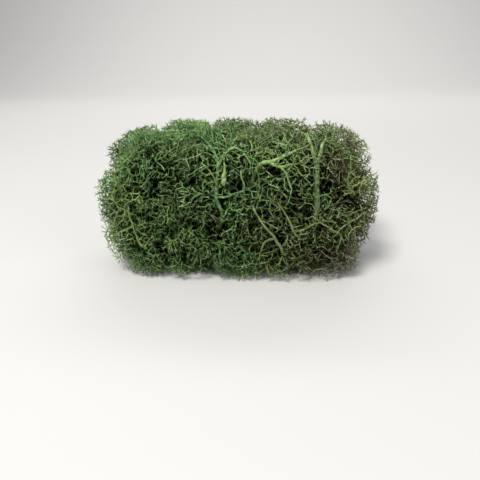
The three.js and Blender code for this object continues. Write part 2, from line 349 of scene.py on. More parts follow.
# %% Plants
UP = Vector((0, 0, 1))
JITTER = 2
FACING_FROM = 14  # all heads face away from a point at this height, in the middle of the clump
BEND_OUT, BEND_UP = 0.35, 0.55  # where a young spine bends, as parts of its way out and of its height
CROWN_BEYOND = 6
CORNER_ROUND = 0.8


def point_on_ring(half_width, half_depth, part):
    """A point on a rounded rectangle, from its first corner round by the back to the right-hand side."""
    corner = CORNER_ROUND * half_depth
    x, y, arc = half_width - corner, half_depth - corner, corner * math.pi / 2
    runs = [(arc, x, y, 0), (2 * x, x, y, 90), (arc, -x, y, 90), (2 * y, -x, y, 180)]
    runs += [(arc, -x, -y, 180), (2 * x, -x, -y, 270), (arc, x, -y, 270), (y, x, -y, 0)]
    left = part % 1 * sum(run[0] for run in runs)
    for i, (length, cx, cy, degrees) in enumerate(runs):
        if left <= length:
            break
        left -= length
    start = math.radians(degrees)
    if i % 2 == 0:
        angle = start + left / corner
        return Vector((cx + corner * math.cos(angle), cy + corner * math.sin(angle), 0))
    out = Vector((math.cos(start), math.sin(start), 0))
    along = Vector((-out.y, out.x, 0))
    return Vector((cx, cy, 0)) + out * corner + along * left


def plants_of_tier(tier):
    plants = []
    for i in range(tier["count"]):
        place = point_on_ring(*tier["half"], (i + tier["turn"]) / tier["count"])
        jitter = Vector([dice.draw(-JITTER, JITTER) for _ in range(3)])
        centre = place + Vector((0, 0, tier["height"])) + jitter
        outward = Vector((centre.x / WIDTH, centre.y / DEPTH, (centre.z - FACING_FROM) / HEIGHT))
        outward.normalize()
        shrink = [f / h for f, h in zip(tier["feet"], tier["half"])]
        foot = Vector((place.x * shrink[0], place.y * shrink[1], 0))
        bend = foot.lerp(centre, BEND_OUT)
        bend.z = centre.z * BEND_UP
        plants.append({
            "name": f"{tier['name']}_{i + 1:02d}",
            "centre": centre,
            "outward": outward,
            "sideways": UP.cross(outward).normalized(),
            "spine": bent_spine(foot, bend, centre + outward * CROWN_BEYOND),
            "arms": [],
            "habit": COARSE if centre.x > COARSE_FROM_X else FINE,
            "tone": 0,
            "branches": [],
        })
    return plants


def old_plant(i, routes):
    spine = wandering_spine(routes["stalk"])
    return {
        **routes,
        "name": f"old_stalk_0{i + 1}",
        "centre": spine.point(1),
        "sideways": Vector((0, -1, 0)),
        "spine": spine,
        "arms": [wandering_spine(arm) for arm in routes["arms"]],
        "branches": [],
        "habit": OLD,
    }


plants = [old_plant(i, routes) for i, routes in enumerate(OLD_ROUTES)]
for tier in TIERS:
    plants += plants_of_tier(tier)
print("plants:", len(plants))

# %% [markdown]
# ## Keeping clear of each other
#
# Forks that run through each other would look wrong at once. Every rod that is placed is kept in one
# table, and a new one has to pass all of them at a distance. NumPy compares it with the whole table in a
# single step. Each rod is a line with a thickness, so the distance is that between two lines.


# %% Clearance
class Placed:
    """Rods with round ends, in a table that grows: where from, where to, radius, plant and fork."""

    def __init__(self, most=8000):
        self.count = 0
        self.start = np.zeros((most, 3))
        self.run = np.zeros((most, 3))
        self.radius = np.zeros(most)
        self.plant = np.zeros(most, int)
        self.fork = np.zeros(most, int)

    def add(self, start, end, radius, plant, fork):
        n = self.count
        self.start[n], self.run[n], self.radius[n] = start, end - start, radius
        self.plant[n], self.fork[n] = plant, fork
        self.count += 1
        return n

    def distances(self, start, end):
        n = self.count
        run, other = np.array(end - start), self.run[:n]
        between = np.array(start) - self.start[:n]
        aa, bb = run @ run, (other * other).sum(1)
        ab, ar, br = other @ run, between @ run, (other * between).sum(1)
        slope = aa * bb - ab * ab
        safe = np.where(slope > 1e-9, slope, 1)
        first = np.where(slope > 1e-9, np.clip((ab * br - bb * ar) / safe, 0, 1), 0)
        t = np.clip((ab * first + br) / bb, 0, 1)
        s = np.clip((ab * t - ar) / aa, 0, 1)
        return np.linalg.norm(between + run * s[:, None] - other * t[:, None], axis=1)


placed = Placed()

# %% [markdown]
# The stalks are placed first. A young one is a thin neck with a thick core in its head, and an old one
# tapers evenly. Each section is a part of the spine, a thickness, and how rough the solid is there.

# %% Place the stalks
TUBE_SIDES = 6
FOOT_RADIUS = 2.6
NECK_BACK, NECK_RADIUS = 18, 1.9  # how far the neck lies back from the crown, and how thick it is
CORE_SECTIONS = [(11, 0.85), (5.5, 1), (1.5, 0.6)]  # how far back, and which part of the core's width
CORE_ROUGH = 0.14
LEAST_RUN = 3
SHORT_STEP = 0.01
OLD_SECTIONS = (10, 2.2, 1.5)  # how many, and how thick at the foot and at the end
ARM_SECTIONS = (5, 1.3, 0.9)


def head_sections(spine, core):
    sections = [(spine.length, FOOT_RADIUS, 0)]
    if spine.length > NECK_BACK + LEAST_RUN:
        sections.append((NECK_BACK, NECK_RADIUS, 0))
    for back, wide in CORE_SECTIONS:
        if back < spine.length - LEAST_RUN:
            sections.append((back, wide * core, CORE_ROUGH))
    return [(1 - back / spine.length, radius, rough) for back, radius, rough in sections]


def old_sections(steps, wide, narrow):
    return [(i / steps, wide + (narrow - wide) * i / steps, 0) for i in range(steps)]


def place_tube(number, spine, sections):
    for _ in range(TUBE_SIDES * len(sections)):
        dice.roll()  # each corner of a solid's section drew one number
    following = [at for at, _, _ in sections[1:]] + [1]
    for (at, radius, rough), after in zip(sections, following):
        end = spine.point(at + SHORT_STEP if rough else after)
        placed.add(spine.point(at), end, radius * (1 + rough), number, -1)


def place_body(number, plant):
    if plant["habit"] is OLD:
        place_tube(number, plant["spine"], old_sections(*OLD_SECTIONS))
    else:
        place_tube(number, plant["spine"], head_sections(plant["spine"], plant["habit"]["core"]))
    for arm in plant["arms"]:
        place_tube(number, arm, old_sections(*ARM_SECTIONS))


for number, plant in enumerate(plants):
    place_body(number, plant)
print("stalk sections placed:", placed.count)

# %% [markdown]
# ## The main forks
#
# From the middle of each head, trunks stand out evenly to all sides: their directions come from a spiral
# on a ball, as seeds sit on a sunflower. A trunk forks into three limbs and each limb into three tips.
# A rod has three sides, and each side at its end grows one child, so a fork has a hollow in its middle,
# which is just how this lichen forks. A rod that would touch another is tried again, shorter, then left out.

# %% The shape of a fork
SADDLE_RISE = 0.9  # height of the hollow's middle in a fork, in radii


def ring_of_three(centre, direction, towards, radius):
    right = (towards - direction * towards.dot(direction)).normalized()
    over = direction.cross(right)
    turns = [2 * math.pi * k / 3 for k in range(3)]
    return [centre + (right * math.cos(a) + over * math.sin(a)) * radius for a in turns]


def end_ring(rod):
    middle = (rod["face"][0] + rod["face"][1] + rod["face"][2]) / 3
    return ring_of_three(rod["end"], rod["direction"], rod["face"][0] - middle, rod["radius"])


def fork_faces(rod):
    ring = end_ring(rod)
    saddle = rod["end"] + rod["direction"] * (rod["radius"] * SADDLE_RISE)
    return [(ring[k], ring[(k + 1) % 3], saddle) for k in range(3)]


# %% Grow one rod
CLEARANCE = 0.4
SHORTENED = (1, 0.85, 0.7, 0.55)


def grow_rod(plant, parent, face, start, direction, length, radius):
    number = plants.index(plant)
    n = placed.count
    if parent is None:
        may_touch = (placed.plant[:n] == number) & (placed.fork[:n] == -1)
    else:
        may_touch = (placed.fork[:n] == parent["id"]) | (np.arange(n) == parent["id"])
    for part in SHORTENED:
        end = start + direction * (length * part)
        if not inside_cushion(end) or (end - plant["centre"]).length >= plant["habit"]["reach"]:
            continue
        room = radius + placed.radius[:n] + CLEARANCE
        if (may_touch | (placed.distances(start, end) > room)).all():
            rod = {"plant": plant, "start": start, "end": end, "direction": direction, "face": face}
            rod.update(radius=radius, kids=[None] * 3)
            rod["id"] = placed.add(start, end, radius, number, parent["id"] if parent else -1)
            return rod
    return None


# %% Sprays of trunks
GOLDEN_ANGLE = math.pi * (3 - math.sqrt(5))
SPRAY_COVER = 1.45  # 2 would cover a whole ball, with sprays towards the foot too
SPRAY_JITTER = 0.12
TRUNK_FROM, TRUNK_BEYOND = 2, 4  # from the head's middle, and beyond its core
OLD_TRUNK, OLD_TRUNK_LIFT = 7, 0.3
FIRST_SPRAY, LAST_SPRAY = 0.5, 0.97


def head_sprays(plant):
    outward, side, habit = plant["outward"], plant["sideways"], plant["habit"]
    over = outward.cross(side)
    turn = dice.draw(0, 2 * math.pi)
    for i in range(habit["sprays"]):
        facing = 1 - (i + 0.5) / habit["sprays"] * SPRAY_COVER
        away, angle = math.sqrt(1 - facing * facing), turn + i * GOLDEN_ANGLE
        direction = outward * facing
        direction += side * (away * math.cos(angle) + dice.draw(-SPRAY_JITTER, SPRAY_JITTER))
        direction += over * (away * math.sin(angle) + dice.draw(-SPRAY_JITTER, SPRAY_JITTER))
        direction.normalize()
        yield plant["centre"] + direction * TRUNK_FROM, direction, habit["core"] - TRUNK_FROM + TRUNK_BEYOND


def spray_on_curve(curve, at, turn, follow):
    angle = turn * GOLDEN_ANGLE
    direction = curve.tangent(at) * follow + Vector((math.cos(angle), math.sin(angle), OLD_TRUNK_LIFT))
    return curve.point(at), direction.normalized(), OLD_TRUNK


def old_sprays(plant):
    last = plant["habit"]["sprays"] - 1
    for i in range(last + 1):
        at = FIRST_SPRAY + (LAST_SPRAY - FIRST_SPRAY) * i / last
        yield spray_on_curve(plant["spine"], at, i, follow=1)
    for i, arm in enumerate(plant["arms"]):
        yield spray_on_curve(arm, LAST_SPRAY, i, follow=3)


# %% Main forks
FORK_ANGLE, FORK_JITTER = 42, 9
FORK_LENGTHS = (0.85, 1.1)
LIMB_RADIUS, TIP_RADIUS = 1.0, 0.8


def grow_trunks(plant):
    sprays = list(old_sprays(plant) if plant["habit"] is OLD else head_sprays(plant))
    radius = plant["habit"]["trunk"]
    trunks = []
    for start, direction, length in sprays:
        face = ring_of_three(start, direction, direction.cross(UP), radius)
        for _ in range(3):
            dice.roll()
        trunks.append(grow_rod(plant, None, face, start, direction, length, radius))
    return [trunk for trunk in trunks if trunk]


def grow_fork(rod, length, radius):
    for _ in range(3):
        dice.roll()
    for k, face in enumerate(fork_faces(rod)):
        outward = ((face[0] + face[1]) / 2 - rod["end"]).normalized()
        angle = math.radians(FORK_ANGLE + dice.draw(-FORK_JITTER, FORK_JITTER))
        direction = (rod["direction"] * math.cos(angle) + outward * math.sin(angle)).normalized()
        reach = length * dice.draw(*FORK_LENGTHS)
        rod["kids"][k] = grow_rod(rod["plant"], rod, face, rod["end"], direction, reach, radius)


for plant in plants:
    plant["trunks"] = grow_trunks(plant)
trunks = [trunk for plant in plants for trunk in plant["trunks"]]
for trunk in trunks:
    grow_fork(trunk, trunk["plant"]["habit"]["limb"], LIMB_RADIUS)
limbs = [limb for trunk in trunks for limb in trunk["kids"] if limb]
for limb in limbs:
    grow_fork(limb, limb["plant"]["habit"]["tip"], TIP_RADIUS)
tips = [tip for limb in limbs for tip in limb["kids"] if tip]
print(f"main forks: {len(trunks)} trunks, {len(limbs)} limbs, {len(tips)} tips")

# %% [markdown]
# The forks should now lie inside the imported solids. A BVH tree answers quickly how far a point is from a
# mesh, so this cell measures it at the end of every tip.


# %% Measure the forks against the solids
def gap_to_solid(plant):
    solid = frame["nodes"][plant["name"]].data
    corners = [v.co.copy() for v in solid.vertices]
    tree = BVHTree.FromPolygons(corners, [tuple(f.vertices) for f in solid.polygons])
    own = [tip for tip in tips if tip["plant"] is plant]
    return max(((tree.find_nearest(tip["end"] * MM)[3] or 0) / MM for tip in own), default=0)


gaps = {plant["name"]: gap_to_solid(plant) for plant in plants}
worst = max(gaps, key=gaps.get)
print(f"tips lie within {gaps[worst]:.4f} mm of their solids, worst at {worst}")

# %% [markdown]
# ## Finer twigs
#
# The solids stop at the third order of forks. The living plant goes on for several more, with twigs
# no thicker than a bristle. They fill the head evenly, because a twig grows only where there is light and
# room. So each new twig here has to end at a fair distance from the end of every other. A table of small
# cells, each with the ends that lie in it, makes that test quick enough for tens of thousands of twigs.


# %% Ends of twigs, in cells
class Ends:
    def __init__(self, cell_size):
        self.cell_size = cell_size
        self.cells = {}

    def cell(self, at):
        return tuple(int(c // self.cell_size) for c in at)

    def add(self, at):
        self.cells.setdefault(self.cell(at), []).append(at)

    def is_free(self, at, gap):
        i, j, k = self.cell(at)
        for x in (i - 1, i, i + 1):
            for y in (j - 1, j, j + 1):
                for z in (k - 1, k, k + 1):
                    for other in self.cells.get((x, y, z), ()):
                        if (other - at).length_squared < gap * gap:
                            return False
        return True


ends = Ends(3.0)
print("cells of", ends.cell_size, "mm")

# %% [markdown]
# A twig is a short path, the way it heads at its end, its thickness and what grows on it. `order` counts
# the forks from the stalk and gives its age: the higher the order, the younger and paler the twig. `tone`
# is its hue, from brown through olive and green to yellow, and drifts a little from each twig to the next.
# Where a head stands sets the tone that it starts from: fresh green on the left, olive on the right, and
# more alike towards the back. Two spots of a few millimetres took the dye badly, one brown and one yellow.
#
# The rods of the main forks become twigs first. They keep their ends, but each bows a little to one side,
# and the last order stops early, because finer twigs take it to the same place.

# %% A twig
class Twig:
    __slots__ = ("habit", "path", "heading", "radius", "order", "tone", "anchor", "reach", "kids", "shoots")

    def __init__(self, habit, path, heading, radius, order, tone, anchor, reach):
        self.habit, self.path, self.heading, self.radius = habit, path, heading, radius
        self.order, self.tone, self.anchor, self.reach = order, tone, anchor, reach
        self.kids, self.shoots = [None] * 3, []

    @property
    def end(self):
        return self.path[-1]


# %% Tones
TONE_ACROSS = [  # places from left to right, and the tones there
    (-80, -35, 5, 20, 32, 50, 75),
    (0.5, 0.63, 0.52, 0.58, 0.31, 0.22, 0.16),
]
TONE_SPREAD = 0.09
TONE_BEHIND, ALIKE_BEHIND = 0.52, 0.75  # the tone that heads at the back have in common, and how much
BACK_FROM_TO = (-20, 20)
TONE_DRIFT = 0.11
TONE_PATCH, PATCH_SIZE = 0.17, 13.0
SPOTS = [
    {"at": Vector((-11, -44, 38)), "size": 9, "tone": 0.0},
    {"at": Vector((-31, -44, 35)), "size": 8, "tone": 1.0},
]
twig_dice = Dice(31)


def tone_of_head(centre):
    """Fresh green on the left and olive on the right, but more alike and more mixed towards the back."""
    back = float(np.interp(centre.y, BACK_FROM_TO, (0, 1)))
    tone = float(np.interp(centre.x, *TONE_ACROSS))
    spread = TONE_SPREAD * (1 + back)
    return tone + (TONE_BEHIND - tone) * ALIKE_BEHIND * back + twig_dice.draw(-spread, spread)


def drift(tone, at):
    """The tone of a new twig: its parent's, moved a little by chance and a little by where it grows."""
    moved = tone + twig_dice.draw(-TONE_DRIFT, TONE_DRIFT) + TONE_PATCH * noise.noise(at / PATCH_SIZE)
    for spot in SPOTS:
        pull = max(1 - (at - spot["at"]).length / spot["size"], 0)
        moved += (spot["tone"] - moved) * pull
    return min(max(moved, 0), 1)


# %% Thin the main forks
BOW = 0.08
BOW_POINTS = [(0.33, 1.0), (0.7, 0.8)]  # places along the twig, and which part of the bow is reached there
LAST_ORDER, LAST_ORDER_KEPT = 2, 0.62
REACH_MARGIN = 2


def sideways_of(direction):
    """A random direction at right angles to this one."""
    right = direction.orthogonal().normalized()
    over = direction.cross(right)
    angle = twig_dice.draw(0, 2 * math.pi)
    return right * math.cos(angle) + over * math.sin(angle)


def thin_twig(rod, order, tone):
    plant, start, end = rod["plant"], rod["start"], rod["end"]
    if order == LAST_ORDER:
        end = start.lerp(end, LAST_ORDER_KEPT)
    bow = sideways_of(rod["direction"]) * ((end - start).length * BOW)
    path = [start, *(start.lerp(end, part) + bow * share for part, share in BOW_POINTS), end]
    habit = plant["habit"]
    radius, reach = habit["radii"][order], habit["reach"] + REACH_MARGIN
    twig = Twig(habit, path, rod["direction"], radius, order, tone, plant["centre"], reach)
    ends.add(end)
    twig.kids = [thin_twig(kid, order + 1, drift(tone, end)) if kid else None for kid in rod["kids"]]
    return twig


for plant in plants:
    if plant["habit"] is not OLD:
        plant["tone"] = tone_of_head(plant["centre"])
    plant["twigs"] = [thin_twig(trunk, 0, plant["tone"]) for trunk in plant["trunks"]]


def all_twigs(twigs):
    for twig in twigs:
        yield twig
        yield from all_twigs([kid for kid in twig.kids if kid])
        yield from all_twigs(twig.shoots)


print("twigs of the main forks:", sum(1 for plant in plants for _ in all_twigs(plant["twigs"])))

# %% [markdown]
# A few branches have outgrown the others and lie across the front, long and nearly bare. They are too thin
# to matter in the solids, but the eye picks them out, so each has a route of its own. It starts inside
# the head that it belongs to. Each row of the table names that head, then the branch's thickness, as a part
# of a full-grown one, its tone and its route. A stunted one on an old stalk has swollen into a pale pod.

# %% Long branches
BRANCHES = [
    ("low_head_11", 0.85, 0.76, [
        (32, -29, 20), (40.8, -43, 29), (36, -46, 38.6), (31.6, -46.3, 47.4), (27, -46, 54.5),
    ]),
    ("low_head_11", 1.0, 0.76, [
        (32, -29, 20), (31, -42, 20), (26.5, -46, 30.8),
        (20.6, -46.5, 39.2), (14.7, -46.8, 47.3), (12.4, -46, 53),
    ]),
    ("low_head_11", 0.7, 0.8, [(26, -45.5, 31.5), (21, -46.5, 30), (17, -46, 21)]),
    ("low_head_11", 0.62, 0.8, [(38, -45, 35), (45, -46, 39), (58, -44.3, 42.5)]),
    ("low_head_12", 0.65, 0.78, [
        (58, -25, 17), (66, -41, 30), (61.4, -44, 35.9), (53.4, -45.3, 40.8), (47.9, -45.8, 46),
    ]),
    ("low_head_12", 0.6, 0.8, [
        (60, -32, 22), (62, -43, 34), (67.3, -42.3, 38.5), (73.9, -39.7, 42), (81, -35, 45),
    ]),
    ("low_head_08", 0.8, 0.75, [
        (-56.3, -28, 20), (-57, -41, 22), (-60.3, -43.8, 33.8), (-62.1, -43.7, 41.6), (-63, -43, 51),
    ]),
    ("low_head_08", 0.6, 0.8, [(-61.2, -43.8, 37), (-67.9, -42.2, 34.3), (-74, -39.5, 30)]),
    ("middle_head_12", 0.65, 0.76, [
        (71, -16, 47), (72, -36, 56), (69.9, -41, 60.3), (66.5, -41.5, 67.5), (70, -39.5, 72),
    ]),
    ("top_head_07", 0.65, 0.5, [(-15, -24, 73), (-11, -33, 84), (-12, -26, 88.5), (-15, -13, 90.5)]),
    ("low_head_10", 0.85, 0.7, [
        (3, -30, 22), (7, -35, 42), (7.7, -45.8, 59), (7.4, -46.2, 67), (6, -45, 73),
    ]),
    ("low_head_10", 0.65, 0.7, [
        (4, -30, 22), (13, -35, 45), (16.4, -46, 62.5), (16.2, -46, 69), (15, -44, 73),
    ]),
    ("old_stalk_03", 0.7, 0.75, [(25, -42.5, 77), (28.8, -44.6, 75), (32, -45.3, 70.5), (35.5, -46.3, 61)]),
]
POD_ON, POD_TONE = "old_stalk_01", 0.85
POD_ROUTE = [(-4, -40.5, 79), (-3.4, -44.5, 73), (-4.2, -46, 64)]

# %% Kinks in the long branches
CROOKED = 0.6
KINK_STEP, LEAST_KINKS = 4.0, 3


def crooked(route):
    smooth = wandering_spine(route)
    count = max(LEAST_KINKS, round(smooth.length / KINK_STEP))
    kinks = [smooth.point(i / count) for i in range(count + 1)]
    jitters = [Vector([twig_dice.draw(-CROOKED, CROOKED) for _ in range(3)]) for _ in kinks]
    return wandering_spine([at + jitter for at, jitter in zip(kinks, jitters)])


named = {plant["name"]: plant for plant in plants}
for name, girth, tone, route in BRANCHES:
    named[name]["branches"].append({"curve": crooked(route), "girth": girth, "tone": tone})
print("long branches:", [round(b["curve"].length) for plant in plants for b in plant["branches"]], "mm")

# %% [markdown]
# New twigs come in two ways: three at the end of a twig, which is a fork, or one on its side, which is a
# shoot. Each curls a little as it grows, and now and then one grows long and straight. A twig doesn't
# grow where it would leave the cushion or its own head, where another ends already, or close around an
# old stalk or a long branch, which shade the young ones out. Three more rules make it look grown and not
# clipped: a noise field leaves pockets that nothing fills, too deep inside there is no light for young
# twigs at all, and between the heads at the front some dark hollows lead inward, where a head was torn
# away. HOLLOWS lists their mouths.

# %% Hollows
HOLLOWS = [
    (39, -46, 60), (37, -46, 57), (69, -46, 54), (36, -46, 49), (44, -46, 49), (4, -46, 65),
    (4, -46, 62), (-5, -46, 54), (-40, -46, 75), (62, -46, 57), (-46, -46, 68), (-58, -46, 76),
    (-53, -46, 45), (54, -46, 64), (27, -46, 74), (-13, -46, 38), (-6, -46, 39), (-10, -46, 33),
]
HOLLOW_RADIUS = 4.2
HOLLOW_DEPTHS = range(0, 13, 3)
INWARD = Vector((0, 1, -0.3))

hollows = Ends(5.0)
for mouth in HOLLOWS:
    for depth in HOLLOW_DEPTHS:
        hollows.add(Vector(mouth) + INWARD * depth)
print("hollows:", len(HOLLOWS))

# %% Shade
SHADED_OUT = 2.6
SHADE_SPOTS = 40

shade = Ends(4.0)
for plant in plants:
    bare = [(branch["curve"], 0) for branch in plant["branches"]]
    if plant["habit"] is OLD:
        bare += [(curve, plant["bare_from"]) for curve in (plant["spine"], *plant["arms"])]
    for curve, bare_from in bare:
        for i in range(SHADE_SPOTS):
            spot = curve.point(i / SHADE_SPOTS)
            if spot.z > bare_from:
                shade.add(spot)
print("places in shade:", sum(len(spots) for spots in shade.cells.values()))

# %% Light and room
LIT_TO = 17  # millimetres from the outline to where young twigs stop growing


def depth_at(at):
    return room_left(at) * DEPTH / 2


def has_light_and_room(habit, end):
    size, threshold = habit["pockets"]
    if not inside_cushion(end) or depth_at(end) > LIT_TO or noise.noise(end / size) < threshold:
        return False
    if not hollows.is_free(end, HOLLOW_RADIUS):
        return False
    if habit is not OLD and not shade.is_free(end, SHADED_OUT):
        return False
    return ends.is_free(end, habit["gap"])


# %% Sprout one twig
LENGTHS = (0.7, 1.2)
CURLS = (0.5, 1.5)
STRAY_LENGTH = 2.4
STOUT, STOUT_BELOW_ORDER = 1.15, 4


def curl_path(start, direction, length, curl):
    axis = sideways_of(direction)
    turn = Matrix.Rotation(math.radians(curl * twig_dice.draw(*CURLS)), 3, axis)
    middle = start + direction * (length * 0.5)
    heading = turn @ direction
    return [start, middle, middle + heading * (length * 0.5)], heading


def sprout(parent, start, direction):
    habit = parent.habit
    length, curl = habit["length"] * twig_dice.draw(*LENGTHS), habit["curl"]
    if twig_dice.roll() < habit["strays"]:
        length, curl = length * STRAY_LENGTH, curl / STRAY_LENGTH
    path, heading = curl_path(start, direction, length, curl)
    if (path[-1] - parent.anchor).length > parent.reach or not has_light_and_room(habit, path[-1]):
        return None
    ends.add(path[-1])
    order, tone = parent.order + 1, drift(parent.tone, path[-1])
    radius = habit["radii"][3] * (STOUT if order < STOUT_BELOW_ORDER else 1)
    return Twig(habit, path, heading, radius, order, tone, parent.anchor, parent.reach)


# %% Forks and shoots
FORK_OPENS = (34, 56)
SHOOT_LEANS, SHOOT_PLACES = (0, 0.8), (0.1, 1)


def fork(twig, grow_one):
    right = sideways_of(twig.heading)
    over = twig.heading.cross(right)
    for k in range(3):
        around = 2 * math.pi * (k + 0.5) / 3
        spread = math.radians(twig_dice.draw(*FORK_OPENS))
        outward = right * math.cos(around) + over * math.sin(around)
        direction = twig.heading * math.cos(spread) + outward * math.sin(spread)
        twig.kids[k] = grow_one(twig, twig.end, direction.normalized())
    return [kid for kid in twig.kids if kid]


def side_shoot(twig, grow_one):
    a, b = twig.path[-3], twig.path[-2]
    along = (b - a).normalized()
    direction = (sideways_of(along) + along * twig_dice.draw(*SHOOT_LEANS)).normalized()
    shoot = grow_one(twig, a.lerp(b, twig_dice.draw(*SHOOT_PLACES)), direction)
    if shoot:
        twig.shoots.append(shoot)
    return [shoot] if shoot else []


# %% [markdown]
# Old stalks and long branches carry a few twigs along their length. Most arms of an old stalk end in a
# brush of long straight ones, and a long branch in a few short crooked ones. A bud stands for the place on
# the curve, so that the same rule grows them all.

# %% Twigs on stalks and branches
BUD_STEP = 2.6
BUD_ORDER = 2
BUD_REACH = 12
BUD_LEANS, BRUSH_LEANS = (0, 0.9), (1, 2)
BRUSH = {**OLD, "count": 9, "from": 0.75, "curl": 14, "strays": 1.0}
BRANCH_END = {**OLD, "count": 6, "from": 0.86, "curl": 26, "strays": 0.3}


def bud(habit, curve, at, tone, reach):
    place, radius = curve.point(at), habit["radii"][BUD_ORDER]
    return Twig(habit, [place], curve.tangent(at), radius, BUD_ORDER, tone, place, reach)


def twigs_along(curve, habit, tone, first):
    for i in range(int(curve.length / BUD_STEP)):
        at = (i + twig_dice.roll()) * BUD_STEP / curve.length
        if first < at < 1:
            origin = bud(habit, curve, at, tone, BUD_REACH)
            side = sideways_of(origin.heading)
            direction = (side + origin.heading * twig_dice.draw(*BUD_LEANS)).normalized()
            yield sprout(origin, origin.end, direction)


def brush(curve, tone, habit):
    for _ in range(habit["count"]):
        origin = bud(habit, curve, twig_dice.draw(habit["from"], 1), tone, 2 * BUD_REACH)
        ahead = origin.heading * twig_dice.draw(*BRUSH_LEANS)
        direction = (ahead + sideways_of(origin.heading)).normalized()
        yield sprout(origin, origin.end, direction)


on_stalks = 0
for plant in plants:
    grown = []
    for branch in plant["branches"]:
        grown += twigs_along(branch["curve"], plant["habit"], branch["tone"], first=0.2)
        grown += brush(branch["curve"], branch["tone"], BRANCH_END)
    if plant["habit"] is OLD:
        grown += twigs_along(plant["spine"], OLD, plant["tone"], first=0.45)
        for i, arm in enumerate(plant["arms"]):
            grown += twigs_along(arm, OLD, plant["tone"], first=0.1)
            if i < plant["brushes"]:
                grown += brush(arm, plant["tone"], BRUSH)
    grown = [twig for twig in grown if twig]
    plant["twigs"] += grown
    on_stalks += len(grown)
print("twigs on stalks and branches:", on_stalks)

# %% [markdown]
# All plants grow one order at a time, so that no plant takes its neighbour's room. Old twigs try often to
# put out a shoot on their side, and young ones once or twice.

# %% Grow the finer twigs
NEW_ORDERS = 5
SHOOT_TRIES = (8, 6, 5, 3, 2, 2, 1, 1)  # by the order of the twig that they would stand on


def grow_orders(growing, orders, tries, grow_one):
    for _ in range(orders):
        born = []
        for twig in growing:
            if twig.kids == [None] * 3:
                born += fork(twig, grow_one)
            for _ in range(tries[min(twig.order, len(tries) - 1)]):
                born += side_shoot(twig, grow_one)
        growing = born
        print("new twigs:", len(born))


main_forks = [twig for plant in plants for twig in all_twigs(plant["twigs"])]
grow_orders(main_forks, NEW_ORDERS, SHOOT_TRIES, sprout)

# %% [markdown]
# The stalks bear twigs too, all the way up: old brown wood, which nobody sees except through the gaps.
# Without it the floor would shine through the middle of the clump. It grows by the same two rules, but its
# twigs are longer and thicker, and it stays deep inside.

# %% Old wood inside
WOOD = {"radius": 0.55, "length": 5.6, "gap": 3.15, "curl": 35, "star": 2.4}
WOOD_FROM = 6.5  # millimetres from the outline
WOOD_REACH = 34
WOOD_TONE = 0.4
WOOD_STEP = 3.0
WOOD_OUT, WOOD_UP = 1.2, 0.5
WOOD_TRIES = (4, 4, 3, 3, 2)
wood_ends = Ends(5.0)


def sprout_wood(parent, start, direction):
    path, heading = curl_path(start, direction, WOOD["length"] * twig_dice.draw(*LENGTHS), WOOD["curl"])
    end = path[-1]
    if end.z < GROUND_CLEARANCE or depth_at(end) < WOOD_FROM or (end - parent.anchor).length > WOOD_REACH:
        return None
    if not wood_ends.is_free(end, WOOD["gap"]):
        return None
    wood_ends.add(end)
    tone = drift(WOOD_TONE, end)
    return Twig(WOOD, path, heading, WOOD["radius"], parent.order + 1, tone, parent.anchor, WOOD_REACH)


def wood_on_stalk(plant):
    spine, grown = plant["spine"], []
    for i in range(1, int(spine.length / WOOD_STEP)):
        at = i * WOOD_STEP / spine.length
        start, along = spine.point(at), spine.tangent(at)
        origin = Twig(WOOD, [start], along, WOOD["radius"], 0, WOOD_TONE, start, WOOD_REACH)
        direction = (sideways_of(along) * WOOD_OUT + UP * WOOD_UP).normalized()
        twig = sprout_wood(origin, start, direction)
        if twig:
            grown.append(twig)
    return grown


wood = []
for plant in plants:
    grown = wood_on_stalk(plant)
    plant["twigs"] += grown
    wood += grown
grow_orders(wood, NEW_ORDERS, WOOD_TRIES, sprout_wood)

# %% [markdown]
# ## How much light comes in
#
# Young twigs grow where there is light. The finish paints that light into the colour as well: the less light
# reaches a place, the darker its twigs are painted, which is painted shade on top of the shade that the
# lamps cast, and the pale bloom is painted stronger where more light comes in. So the finish has to know how
# much light reaches each place. The cushion is cut into cells, the twigs in each cell are added up, and from
# every cell the script looks out in 26 directions, with each cell on the way dimming the view as a thin
# cloud would.
# Upward directions count for more, so the painted light is stronger from above.

# %% Light in the cushion
CLOUD_CELL = 3.0
CLOUD_LOW = np.array([-105.0, -63.0, -15.0])
CLOUD_SHAPE = (70, 42, 42)
LOOK_OUT = 9  # cells
MORE_FROM_ABOVE = 0.7
POINTS_AND_THORNS = 2.2  # how much more shade there is with what the twigs bear


def cells_of(points):
    return (points - CLOUD_LOW) / CLOUD_CELL


def twig_cloud():
    cloud = np.zeros(CLOUD_SHAPE)
    for plant in plants:
        for twig in all_twigs(plant["twigs"]):
            for a, b in zip(twig.path, twig.path[1:]):
                i, j, k = cells_of(np.array(a.lerp(b, 0.5))).astype(int)
                cloud[i, j, k] += 2 * twig.radius * (b - a).length
    return cloud * POINTS_AND_THORNS * (math.pi / 4) / CLOUD_CELL**3


def shifted(grid, cells):
    """The grid as seen from this many cells away, with nothing outside it."""
    moved = np.zeros_like(grid)
    here = tuple(slice(max(-c, 0), n - max(c, 0)) for c, n in zip(cells, grid.shape))
    there = tuple(slice(max(c, 0), n - max(-c, 0)) for c, n in zip(cells, grid.shape))
    moved[here] = grid[there]
    return moved


def light_in(cloud):
    light, weights = np.zeros_like(cloud), 0.0
    for x, y, z in np.ndindex(3, 3, 3):
        direction = np.array([x - 1, y - 1, z - 1], float)
        if not direction.any():
            continue
        direction /= np.linalg.norm(direction)
        weight = 1.0 + MORE_FROM_ABOVE * direction[2]
        dimmed = np.zeros_like(cloud)
        for step in range(1, LOOK_OUT + 1):
            cells = np.rint(direction * step).astype(int)
            dimmed += shifted(cloud, cells) * CLOUD_CELL
        light += weight * np.exp(-dimmed)
        weights += weight
    return light / weights


# light_grid is used only by the finish, which paints it into the twigs' colour as shade.
light_grid = light_in(twig_cloud())


